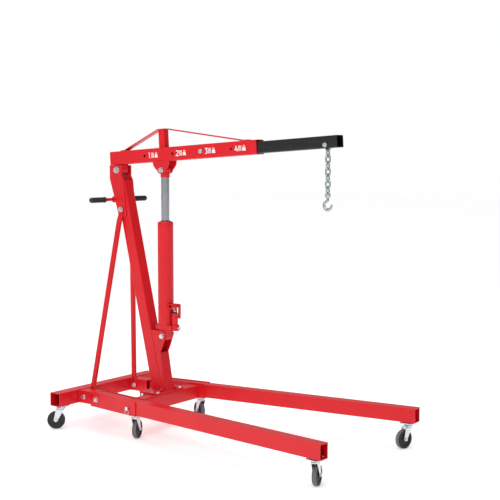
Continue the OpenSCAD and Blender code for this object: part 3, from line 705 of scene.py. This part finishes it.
for side, s in SIDES.items():
    place = turned_to(Vector((bar_c.x, s * grip_end, bar_c.z)), Y * -s)
    piece(f"grip_{side}", moved(lathe(grip_profile, 36), place), grip_rubber, "root",
          ["handle_grips"])


# ---- Load marks ----
# Screen-printed white ink straight on the enamel, beside each load hole on both sides of the boom.
# Each mark is a stencilled position number, three bars and the outline of a weight.

def printed_ink(name, pale, dull):
    """Screen ink: a thin, even film whose coverage varies a little."""
    material, tree, where = textured(name)
    mottle = noise(tree, where, 5 * mm, 4.0)
    rough = spread(tree, mottle, 0.4, 0.55)
    return surfaced(material, between(tree, mottle, pale, dull), rough, {"IOR": 1.5})


def rounded_box(wide, high, r, steps=5):
    """The outline of a rectangle with rounded corners, centred on the origin."""
    corners = [(1, 1, 0), (-1, 1, 1), (-1, -1, 2), (1, -1, 3)]
    return [(sx * (wide / 2 - r) + r * math.cos((q + k / steps) * math.pi / 2),
             sy * (high / 2 - r) + r * math.sin((q + k / steps) * math.pi / 2))
            for sx, sy, q in corners for k in range(steps + 1)]


def stroke(path, wide):
    """The outline of a mitred line through the path's points, in millimetres."""
    points = [Vector(p) for p in path]
    left, right = [], []
    for k, p in enumerate(points):
        before = (p - points[k - 1]).normalized() if k else (points[1] - p).normalized()
        after = (points[k + 1] - p).normalized() if k < len(points) - 1 else before
        mitre = (before + after).normalized()
        normal = Vector((-mitre.y, mitre.x))
        reach = wide / 2 / max(0.5, normal.dot(Vector((-before.y, before.x))))
        left.append(tuple((p + normal * reach) * mm))
        right.append(tuple((p - normal * reach) * mm))
    return right + left[::-1]


# the figures' strokes on an 18 by 30 mm field
strokes = {
    1: [[(-4, 9), (1, 15), (1, -15)]],
    2: [[(-8, 13), (3, 13), (8, 8), (8, 4), (-8, -13), (9, -13)]],
    3: [[(-8, 13), (7, 13), (0, 3), (8, -4), (8, -8), (3, -13), (-8, -13)]],
    4: [[(1, 15), (-9, -6), (1.6, -6)], [(4.6, 4), (4.6, -15)], [(7.4, -6), (10.4, -6)]]}
ink = printed_ink("white_ink", "#F6F4F4", "#E2D6D8")
mark_w, ink_t = 72 * mm, 0.25 * mm
load_holes = [(210 + 200 * k) * mm for k in range(4)]
body_of_weight = [(-12, -14), (12, -14), (8.5, 5), (-8.5, 5)]
handle_of_weight = [[(-4.5, 6.8), (-4.5, 11), (-1.8, 13.6), (1.8, 13.6), (4.5, 11), (4.5, 6.8)]]
figure_x, icon_x, bars_x = -26 * mm, 23 * mm, (-10, -3, 4)
bars = [slab(stroke([(x, 14), (x, -14)], 4), 0, ink_t) for x in bars_x]
icon = [slab([(x * mm, y * mm) for x, y in body_of_weight], 0, ink_t)]
icon += [slab(stroke(line, 3.2), 0, ink_t) for line in handle_of_weight]
icon = moved(joined(*icon), Matrix.Translation((icon_x, 0, 0)))
for side, s in SIDES.items():
    for k, hole in enumerate(load_holes):
        centre = on_boom(hole + 25 * mm + mark_w / 2, boom_under + boom_h / 2, s * boom_half)
        place = Matrix.Translation(centre) @ Matrix((boom_along * -s, boom_up, Y * s)).transposed().to_4x4()
        figure = joined(*[slab(stroke(line, 5.5), 0, ink_t) for line in strokes[k + 1]])
        figure = moved(figure, Matrix.Translation((figure_x, 0, 0)))
        piece(f"load_mark_{side}_{k + 1}", moved(joined(figure, *bars, icon), place), ink, "boom")


# ---- Boom extension ----
# A 60 mm square tube, black stove enamel, open at both ends, that slides inside the boom. Its
# underside has a slot where the chain comes through.

def black_enamel():
    """Baked black enamel: satin, nearly neutral, rubbed a little greyer along the slide."""
    material, tree, where = textured("black_enamel")
    # rub marks run along the tube, some 15 mm apart across it
    stretched = add(tree, "ShaderNodeMapping", {"Vector": where, "Scale": (1.0, 12.0, 12.0)})
    rub = noise(tree, stretched.outputs[0], 180 * mm, 5.0)
    rough = spread(tree, rub, 0.34, 0.50, 0.3, 0.7)
    skin = relief(tree, noise(tree, where, 5 * mm, 2.0), 0.12, 0.4 * mm)
    return surfaced(material, between(tree, rub, "#07080A", "#111317"), rough, {"Normal": skin, "IOR": 1.5})


def square_tube(wide, wall, length, corner):
    """A hollow rounded-square tube along Z from z = 0, open at both ends with broken rims."""
    rim = 0.5 * mm
    outer = rounded_box(wide, wide, corner, 6)
    inner = rounded_box(wide - 2 * wall, wide - 2 * wall, corner - wall * 0.8, 6)
    rings = [(inner, 0, 0), (inner, 0, rim), (inner, 0, length - rim), (inner, 0, length),
             (outer, -rim, length), (outer, 0, length - rim), (outer, 0, rim), (outer, -rim, 0)]
    n = len(outer)
    points = []
    for outline, grow, z in rings:
        points += [Vector((x * (1 + 2 * grow / wide), y * (1 + 2 * grow / wide), z)) for x, y in outline]
    faces = []
    for row in range(len(rings)):
        faces += band(row * n, (row + 1) % len(rings) * n, n)
    return points, faces


ext_w, ext_l, ext_start, hook_at = 60 * mm, 893 * mm, 560 * mm, 1383 * mm
ext_mid = boom_under + 4.6 * mm + ext_w / 2
ext_place = Matrix.Translation(on_boom(ext_start, ext_mid)) @ \
    Matrix((Y, boom_up, boom_along)).transposed().to_4x4()
extension = piece("extension_bar", moved(square_tube(ext_w, 4 * mm, ext_l, 6 * mm), ext_place),
                  black_enamel(), "extension", ["extension_tube"])
slot_w, slot_l = 20 * mm, 52 * mm
cutter_shape = moved(slab(rounded_box(slot_w, slot_l, 9 * mm, 6), 0, 20 * mm),
                     ext_place @ Matrix.Translation((0, -ext_w / 2 - 10 * mm, hook_at - ext_start))
                     @ Matrix.Rotation(-math.pi / 2, 4, "X"))


def cut(target, shape):
    """Cuts a closed shape out of a piece for good."""
    tool_mesh = bpy.data.meshes.new("cutter")
    tool_mesh.from_pydata(shape[0], [], shape[1])
    tool = bpy.data.objects.new("cutter", tool_mesh)
    bpy.context.scene.collection.objects.link(tool)
    step = target.modifiers.new("cut", "BOOLEAN")
    step.object = tool
    step.solver = "EXACT"
    with bpy.context.temp_override(object=target, active_object=target):
        bpy.ops.object.modifier_move_to_index(modifier="cut", index=0)
        bpy.ops.object.modifier_apply(modifier="cut")
    bpy.data.objects.remove(tool)
    bpy.data.meshes.remove(tool_mesh)


cut(extension, cutter_shape)


# ---- Jack ----
# A welded hydraulic jack: pressed and welded base block, 86 mm red cylinder with a screwed crown and
# a rubber wiper, and a ground, hard-chromed ram with a forged eye. The pump stands on the base.

def bare_steel(name, pale, dull, low, high):
    """Machined steel, faintly oiled: the tool marks run round the part."""
    material, tree, where = textured(name)
    fine = add(tree, "ShaderNodeMapping", {"Vector": where, "Scale": (1.0, 1.0, 14.0)})
    marks = noise(tree, fine.outputs[0], 14 * mm, 3.0)
    stain = noise(tree, where, 40 * mm, 4.0)
    return surfaced(material, between(tree, stain, pale, dull), spread(tree, marks, low, high), {
        "Metallic": 1.0, "Normal": relief(tree, marks, 0.08, 0.1 * mm)})


chrome = bare_steel("hard_chrome", "#BDBFC3", "#A7AAAF", 0.18, 0.32)
steel = bare_steel("machined_steel", "#B4B7BC", "#96999F", 0.3, 0.45)
seal_rubber = rubber("seal_rubber", "#26272A", "#151618", 0.5, 0.65, 1.5)
formed("jack_base", "jack", enamel, 0, 1.6 * mm)
formed("pump_body", "jack", enamel, 0, 1.0 * mm)
formed("pump_lever", "pump_lever", enamel, 0, 1.2 * mm)
formed("boom_bush", "boom_bush", steel, 0, 0.3 * mm)
formed("piston", "piston", steel, 0, 0.8 * mm)
formed("ram_eye", "ram", enamel, 0, 1.4 * mm)


def turned(name, x, profile, material, body, nodes=(), sides=72, closed=False):
    """A part turned round an upright axis at x."""
    shape = moved(lathe(profile, sides, closed), Matrix.Translation((x, 0, 0)))
    return piece(name, shape, material, body, nodes)


axis = Vector((jack_pin.x, 0, 0))
tube_low, tube_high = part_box("jack_cylinder")
tube_r, tube_t = (tube_high.y - tube_low.y) / 2, 6 * mm
low_z, high_z = tube_low.z, tube_high.z
inner_r, rim_z = tube_r - tube_t, high_z - 0.2 * mm
turned("jack_tube", axis.x, [
    (0, low_z + 4 * mm), (inner_r, low_z + 4 * mm), (inner_r, rim_z), (tube_r - 1 * mm, rim_z),
    (tube_r, high_z - 1.2 * mm), (tube_r, low_z + 10 * mm), (tube_r, low_z + 3 * mm),
    (tube_r - 2 * mm, low_z), (0, low_z)], enamel, "jack", ["jack_cylinder"])
weld_ring = [axis + Vector((0, 0, low_z + 2.5 * mm))
             + Vector((math.cos(a), math.sin(a), 0)) * (tube_r - 0.2 * mm)
             for a in (math.tau * k / 240 for k in range(240))]
piece("jack_base_weld", sweep(weld_ring, Z, lambda k: ring(2.8 * mm * swell(k), sides=8), closed=True),
      enamel, "jack")
cap_low, cap_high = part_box("cylinder_cap")
ram_low, ram_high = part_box("ram_rod")
ram_r = (ram_high.y - ram_low.y) / 2
dome = [(tube_r - (tube_r - ram_r - 9 * mm) * (1 - math.cos(a)), cap_low.z + 9 * mm + 12 * mm * math.sin(a))
        for a in (math.pi / 2 * k / 8 for k in range(9))]
lip, slide_r, seal_r = cap_high.z, ram_r + 0.1 * mm, ram_r + 0.2 * mm
turned("jack_crown", axis.x, [
    (slide_r, cap_low.z), (tube_r - 1 * mm, cap_low.z), (tube_r, cap_low.z + 1 * mm), *dome,
    (ram_r + 7 * mm, lip - 1 * mm), (slide_r, lip - 4 * mm)],
    enamel, "jack", ["cylinder_cap"], closed=True)
turned("ram_wiper", axis.x, [
    (seal_r, lip - 3.8 * mm), (ram_r + 6.4 * mm, lip - 1.6 * mm), (ram_r + 6.4 * mm, lip + 0.4 * mm),
    (ram_r + 4 * mm, lip + 1.4 * mm), (ram_r + 1.8 * mm, lip + 3.6 * mm), (seal_r, lip + 4.2 * mm)],
    seal_rubber, "jack", closed=True)
turned("chromed_ram", axis.x, [
    (0, ram_low.z), (ram_r - 1.5 * mm, ram_low.z), (ram_r, ram_low.z + 1.5 * mm),
    (ram_r, ram_high.z - 1 * mm), (ram_r - 1 * mm, ram_high.z), (0, ram_high.z)],
    chrome, "ram", ["ram_rod"])
plunger_low, plunger_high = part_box("pump_plunger")
plunger_r = (plunger_high.y - plunger_low.y) / 2
pump_x, plunger_top = (plunger_low.x + plunger_high.x) / 2, plunger_high.z
turned("ground_plunger", pump_x, [
    (0, plunger_low.z), (plunger_r - 0.8 * mm, plunger_low.z), (plunger_r, plunger_low.z + 0.8 * mm),
    (plunger_r, plunger_top - 6 * mm), (plunger_r * 0.8, plunger_top - 2 * mm), (0, plunger_top)],
    chrome, "pump_plunger", ["pump_plunger"], sides=40)
collar_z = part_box("pump_body")[1].z - 49 * mm
wiper_r = plunger_r + 0.3 * mm
turned("plunger_wiper", pump_x, [
    (wiper_r, collar_z), (13 * mm, collar_z), (14 * mm, collar_z + 1 * mm), (14 * mm, collar_z + 5 * mm),
    (11 * mm, collar_z + 7 * mm), (wiper_r, collar_z + 7 * mm)],
    seal_rubber, "jack", sides=48, closed=True)
valve_low, valve_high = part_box("release_valve")
valve_at = at("release_valve_turn")
head_r, shank_r, head_l, teeth = (valve_high.y - valve_low.y) / 2, 5 * mm, 12 * mm, 24
head_x = valve_high.x - head_l
shank_l = head_x - valve_low.x
outline = []
for k in range(4 * teeth):
    a, r = math.tau * k / (4 * teeth), head_r - (0.9 * mm if k % 4 > 1 else 0)
    outline.append((r * math.cos(a), r * math.sin(a)))
back = lathe([(0, 0), (head_r - 1.6 * mm, 0), (head_r - 1 * mm, 1.3 * mm), (0, 1.3 * mm)], 48)
knurl = slab(outline, 1.2 * mm, head_l - 1.2 * mm)
face = lathe([(0, head_l - 1.3 * mm), (head_r - 1 * mm, head_l - 1.3 * mm), (head_r - 1.8 * mm, head_l),
              (0, head_l)], 48)
shank = lathe([(0, -shank_l), (shank_r - 0.8 * mm, -shank_l), (shank_r, 0.8 * mm - shank_l),
               (shank_r, 0.5 * mm), (0, 0.5 * mm)])
screw_place = turned_to(Vector((head_x, 0, valve_at.z)), X)
piece("release_screw", moved(joined(knurl, back, face, shank), screw_place),
      plated, "release_valve", ["release_valve"])


# ---- Lifting chain and hook ----
# Eight welded short links of 9 mm wire, zinc plated, on the extension's bolt, and a drop-forged
# slip hook. Each link has the small swelling of its butt weld.

forged = zinc("forged_zinc", "#C6CDCF", "#9DA6A9", 0.28, 0.46)
wire_r, link_in, bend = 4.5 * mm, 31 * mm, 11.5 * mm
chain_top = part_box("chain_upper")[1].z - 2 * wire_r - link_in / 2
link_step = link_in - 0.3 * mm


def link_shape(middle, flat):
    """A link round its middle; flat is the direction across its two straight sides."""
    path, weld = [], []
    turn = 14
    for s in (1, -1):
        for k in range(turn + 1):
            a = math.pi * k / turn + (0 if s > 0 else math.pi)
            path.append(middle + flat * bend * math.cos(a)
                        + Z * (bend * math.sin(a) + s * (link_in / 2 + wire_r - bend)))
            weld.append(1.0)
        for k in (1, 2, 3, 4, 5):
            z = s * (1 - k / 3) * (link_in / 2 + wire_r - bend)
            path.append(middle - flat * s * bend + Z * z)
            weld.append(1.14 if k == 3 and s > 0 else 1.0)
    return sweep(path, flat.cross(Z), lambda k: ring(wire_r * weld[k], sides=16), closed=True)


for body, first in (("chain_upper", 0), ("chain_lower", 4)):
    for k in range(first, first + 4):
        middle = Vector((chain_pin.x, 0, chain_top - k * link_step))
        piece(f"link_{k + 1}", link_shape(middle, X if k % 2 == 0 else Y), forged, body,
              [body] if k == first else [])
eye_r = 12 * mm
eye = Vector((chain_pin.x, 0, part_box("load_hook")[1].z - eye_r - wire_r))
eye_path = [eye + (X * math.cos(a) + Z * math.sin(a)) * eye_r for a in (math.tau * k / 40 for k in range(40))]
bowl_r = 21.4 * mm
bowl = eye - Z * 50 * mm
path, thick = [], []
for k in range(7):
    t = k / 6
    start, end = eye - Z * (eye_r + 1 * mm), bowl + Z * 24.5 * mm
    path.append(start.lerp(end, t))
    thick.append((5.4 + 2.4 * t, 5.2 + 1.2 * t))
for k in range(1, 45):
    a = math.radians(96 + (360 + 14 - 96) * k / 44)
    grow = 0.35 * mm * max(0, k - 38)
    path.append(bowl + (X * math.cos(a) + Z * math.sin(a)) * (bowl_r + grow))
    middle = math.sin(math.pi * min(1, k / 44)) ** 0.7
    tip = min(1, (46 - k) / 9)
    thick.append(((6.6 + 1.5 * middle) * (0.35 + 0.65 * tip), (5.4 + 1.0 * middle) * (0.35 + 0.65 * tip)))
hook_body = sweep(path, Y, lambda k: ring(thick[k][0] * mm, thick[k][1] * mm, sides=20))
hook_eye = sweep(eye_path, Y, lambda k: ring(wire_r, sides=16), closed=True)
piece("slip_hook", joined(hook_body, hook_eye), forged, "load_hook", ["load_hook"])


# ---- Casters ----
# Zinc-plated swivel casters: a drawn top plate on four bolts, a double ball race, a pressed fork
# bent from one 3 mm strip and a solid rubber wheel with a crowned tread on a steel axle bolt.

tyre_rubber = rubber("tyre_rubber", "#242528", "#141518", 0.5, 0.7, 2.5)
worn_rubber = rubber("worn_tread_rubber", "#77787C", "#56575C", 0.7, 0.85, 2.5)
plate_top, plate_h = rear_low.z, 4 * mm
fork_top = plate_top - 12 * mm
fork_half, fork_t, axle_r, wheel_half = 17 * mm, 3 * mm, 5 * mm, 13 * mm
wheel_r, trail = 50 * mm, 30 * mm


def caster_plate(name, place, turn, body, nodes, bolt_top):
    """The fixed half: top plate, upper race and the four bolts through the tube above."""
    base = Matrix.Translation(Vector((place.x, place.y, plate_top))) @ Matrix.Rotation(turn, 4, "Z")
    plate = slab(rounded_box(74 * mm, 64 * mm, 7 * mm), -plate_h, 0)
    # the race's section: its radius and how far it stands below the plate
    race = [(0, 7.7), (14, 7.7), (19, 7), (21, 5), (21, 2.5), (23, 0.6), (24, -0.2), (0, -0.2)]
    race = lathe([(r * mm, -plate_h - drop * mm) for r, drop in race], 56)
    piece(name, moved(joined(plate, race), base), plated, body, nodes, broken=0.4 * mm)
    bolt_x, bolt_y, bolt_r = 28 * mm, 17 * mm, 4 * mm
    for i, x in enumerate((-bolt_x, bolt_x)):
        for j, y in enumerate((-bolt_y, bolt_y)):
            spot = base @ Vector((x, y, -plate_h))
            flip = turned_to(spot, Z, 0.4 + i + 2 * j)
            rise = bolt_top - spot.z
            head = moved(hexagon(12 * mm, 4.6 * mm), upside_down)
            shank = lathe([(0, -0.5 * mm), (bolt_r, -0.5 * mm), (bolt_r, rise - 1 * mm),
                           (bolt_r - 1 * mm, rise), (0, rise)], 24)
            nut = moved(hexagon(13 * mm, 5.5 * mm), Matrix.Translation((0, 0, rise - 8 * mm)))
            parts = [head, shank] + ([nut] if rise > 20 * mm else [])
            piece(f"{name}_bolt_{2 * i + j}", moved(joined(*parts), flip), plated, body)


def fork(name, place, along, body, nodes):
    """The swivelling half: lower race, bent strip with shoulders that narrow to the axle."""
    across = Z.cross(along)
    base = Matrix.Translation((place.x, place.y, 0)) @ Matrix((along, across, Z)).transposed().to_4x4()
    race = [(6.2 * mm, fork_top - 7 * mm), (20 * mm, fork_top - 7 * mm), (22 * mm, fork_top - 5.5 * mm),
            (22 * mm, fork_top - 2 * mm), (20 * mm, fork_top), (6.2 * mm, fork_top)]
    shapes = [lathe(race, 56, closed=True)]
    # the strip from the crown's middle down a cheek: each station's share of the way out and down
    drop = [(0, 0), (0.5, 0), (0.8, 0.02), (0.94, 0.07), (1, 0.16), (1, 0.4), (1, 0.7), (1, 0.86),
            (1, 0.94), (1, 1)]
    foot, crown = wheel_r - 9 * mm, fork_top - fork_t / 2
    rows = []
    for out_share, fall in drop:
        z = crown - fall * (crown - foot)
        y = out_share * (fork_half - fork_t / 2)
        t = min(1, max(0, fall / 0.86))
        centre = 3 * mm + (trail - 3 * mm) * t
        half = (24 - 12 * t) * mm
        if fall > 0.86:
            half = 12 * mm * math.sqrt(max(0.12, 1 - ((fall - 0.86) / 0.145) ** 2))
        rows.append((centre - half, centre + half, y, z))
    strip = [(a, b, -y, z) for a, b, y, z in reversed(rows[1:])] + rows
    points, faces = [], []
    for k, (a, b, y, z) in enumerate(strip):
        before, after = strip[max(0, k - 1)], strip[min(len(strip) - 1, k + 1)]
        run = Vector((0, after[2] - before[2], after[3] - before[3])).normalized()
        normal = Vector((0, -run.z, run.y)) * (fork_t / 2)
        for x, sign in ((a, 1), (b, 1), (b, -1), (a, -1)):
            points.append(Vector((x, y, z)) + normal * sign)
    for k in range(len(strip) - 1):
        faces += band(4 * k, 4 * k + 4, 4)
    shapes.append((points, faces + end_faces(4, len(points))))
    piece(name, moved(joined(*shapes), base), plated, body, nodes, broken=0.5 * mm)
    rivet = [(0, fork_top - 10.9 * mm), (7 * mm, fork_top - 10.9 * mm), (9.5 * mm, fork_top - 9.6 * mm),
             (9.8 * mm, fork_top - 7.3 * mm), (0, fork_top - 7.3 * mm)]
    piece(name + "_rivet", moved(lathe(rivet, 32), base), plated, body)
    spot = base @ Vector((trail, -fork_half, wheel_r))
    head = moved(hexagon(16 * mm, 4.6 * mm), upside_down)
    nut = moved(hexagon(16 * mm, 4.8 * mm), Matrix.Translation((0, 0, 2 * fork_half)))
    rod = lathe([(0, -0.5 * mm), (axle_r, -0.5 * mm), (axle_r, 2 * fork_half + 5.4 * mm),
                 (axle_r - 0.8 * mm, 2 * fork_half + 6 * mm), (0, 2 * fork_half + 6 * mm)], 32)
    piece(name + "_axle", moved(joined(head, nut, rod), turned_to(spot, across, 0.35)), plated, body)


def wheel(name, hub, axle, body, nodes):
    """A solid tyre with a crowned tread and a moulding groove, and a dished web to the hub."""
    w, bore, place = wheel_half, axle_r + 0.1 * mm, turned_to(hub, axle)
    crown = [(wheel_r - 0.9 * mm * (y / 10.5) ** 2, y * mm) for y in (-10.5, -8, -4, 0, 4, 8, 10.5)]
    profile = [(bore, -w), (9 * mm, -w), (12 * mm, -w + 0.6 * mm), (13 * mm, -w + 5 * mm),
               (31 * mm, -w + 5.2 * mm), (34 * mm, -w + 4 * mm), (35 * mm, -w + 0.8 * mm), (37 * mm, -w),
               (43 * mm, -w), (44 * mm, -w + 0.7 * mm), (45 * mm, -w), (47.4 * mm, -w + 0.4 * mm)]
    mirror = [(a, -z) for a, z in reversed(profile)]
    seat = [(46 * mm, -10.5 * mm), (46 * mm, 10.5 * mm)]
    tyre = lathe(profile + seat + mirror, 72, closed=True)
    piece(name, moved(tyre, place), tyre_rubber, body, nodes)
    tread = lathe(seat[::-1] + crown, 72, closed=True)
    piece(name + "_tread", moved(tread, place), worn_rubber, body)
    near, far = w + 0.2 * mm, w + 0.9 * mm
    sleeve = lathe([(bore, near), (8 * mm, near), (8 * mm, far), (bore, far)], 32, closed=True)
    sleeves = joined(sleeve, moved(sleeve, upside_down))
    piece(name + "_sleeves", moved(sleeves, place), plated, body)


splay = math.radians(7.2)
for where in ("rear", "mid", "front"):
    for side, s in SIDES.items():
        place, hub = at(f"swivel_{where}_{side}"), at(f"roll_{where}_{side}")
        along = Vector((hub.x - place.x, hub.y - place.y, 0)).normalized()
        plate_body = f"leg_{side}" if where == "front" else "root"
        plate_nodes = [f"leg_caster_plate_{side}"] if where == "front" else (
            ["caster_plates"] if (where, side) == ("rear", "right") else [])
        turn = 0 if where == "rear" else s * splay
        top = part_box(f"leg_caster_plate_{side}")[1].z if where == "front" else plate_top + 2 * mm
        caster_plate(f"caster_plate_{where}_{side}", place, turn, plate_body, plate_nodes, top)
        fork(f"caster_fork_{where}_{side}", place, along, f"fork_{where}_{side}", [f"fork_{where}_{side}"])
        body = f"wheel_{where}_{side}"
        wheel(f"caster_wheel_{where}_{side}", hub, Z.cross(along), body, [body])
